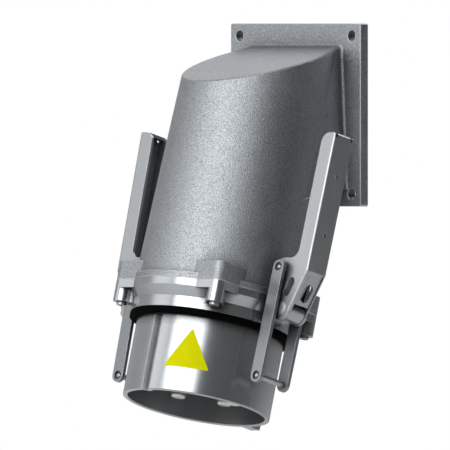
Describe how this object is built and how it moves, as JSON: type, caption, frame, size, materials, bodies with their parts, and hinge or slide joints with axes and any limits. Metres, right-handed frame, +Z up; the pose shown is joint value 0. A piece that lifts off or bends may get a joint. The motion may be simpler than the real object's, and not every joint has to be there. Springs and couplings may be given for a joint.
{
  "type": "pin and sleeve inlet",
  "caption": "Angled wall-mounted pin and sleeve power inlet in a cast housing, with a keyed sleeve, pin contacts and two hinged draw levers with links.",
  "frame": {"origin": "centre of the wall plate's back face, in the middle of the four wall bolts", "axes": "+Z up, +X to the right seen from the front, -Y straight out from the wall; the sleeve's mouth points down and 15 degrees out from the wall"},
  "size_m": [0.2764, 0.2232, 0.407],
  "materials": {
    "cast_aluminium": "sand-cast, fine rough skin",
    "machined_aluminium": "smooth, lightly turned",
    "zinc_steel": "zinc-plated, satin",
    "black_rubber": "matt",
    "dark_plastic": "moulded, matt",
    "plated_brass": "silver-plated, bright"
  },
  "bodies": {
    "inlet": {"housing": "cast_aluminium", "inlet_shell": "machined_aluminium", "face_seal": "black_rubber", "joint_seal": "black_rubber", "contact_carrier": "dark_plastic", "retaining_ring": "zinc_steel", "earth_pin": "plated_brass", "phase_pin_1": "plated_brass", "phase_pin_2": "plated_brass", "phase_pin_3": "plated_brass", "neutral_pin": "plated_brass", "contact_clips": "zinc_steel", "terminal_screws": "zinc_steel", "flange_screws": "zinc_steel"},
    "lever_right": {"lever_right": "zinc_steel", "pivot_pin_right": "zinc_steel"},
    "links_right": {"link_right_front": "zinc_steel", "link_right_rear": "zinc_steel", "link_pin_right": "zinc_steel", "cross_bar_right": "zinc_steel", "link_washers_right": "zinc_steel"},
    "lever_left": {"lever_left": "zinc_steel", "pivot_pin_left": "zinc_steel"},
    "links_left": {"link_left_front": "zinc_steel", "link_left_rear": "zinc_steel", "link_pin_left": "zinc_steel", "cross_bar_left": "zinc_steel", "link_washers_left": "zinc_steel"}
  },
  "joints": [
    {"name": "lever_right_hinge", "type": "hinge", "parent": "inlet", "child": "lever_right", "pos_m": [0.1075, -0.12582, -0.19641], "axis": [0, 0.9659, -0.2588], "range_deg": [0, 150]},
    {"name": "links_right_hinge", "type": "hinge", "parent": "lever_right", "child": "links_right", "pos_m": [0.1005, -0.11515, -0.15661], "axis": [0, 0.9659, -0.2588], "range_deg": [-150, 0]},
    {"name": "lever_left_hinge", "type": "hinge", "parent": "inlet", "child": "lever_left", "pos_m": [-0.1075, -0.12582, -0.19641], "axis": [0, -0.9659, 0.2588], "range_deg": [0, 150]},
    {"name": "links_left_hinge", "type": "hinge", "parent": "lever_left", "child": "links_left", "pos_m": [-0.1005, -0.11515, -0.15661], "axis": [0, -0.9659, 0.2588], "range_deg": [-150, 0]}
  ],
  "couplings": [
    {"joint": "links_right_hinge", "follows": "lever_right_hinge", "ratio": -1},
    {"joint": "links_left_hinge", "follows": "lever_left_hinge", "ratio": -1}
  ]
}
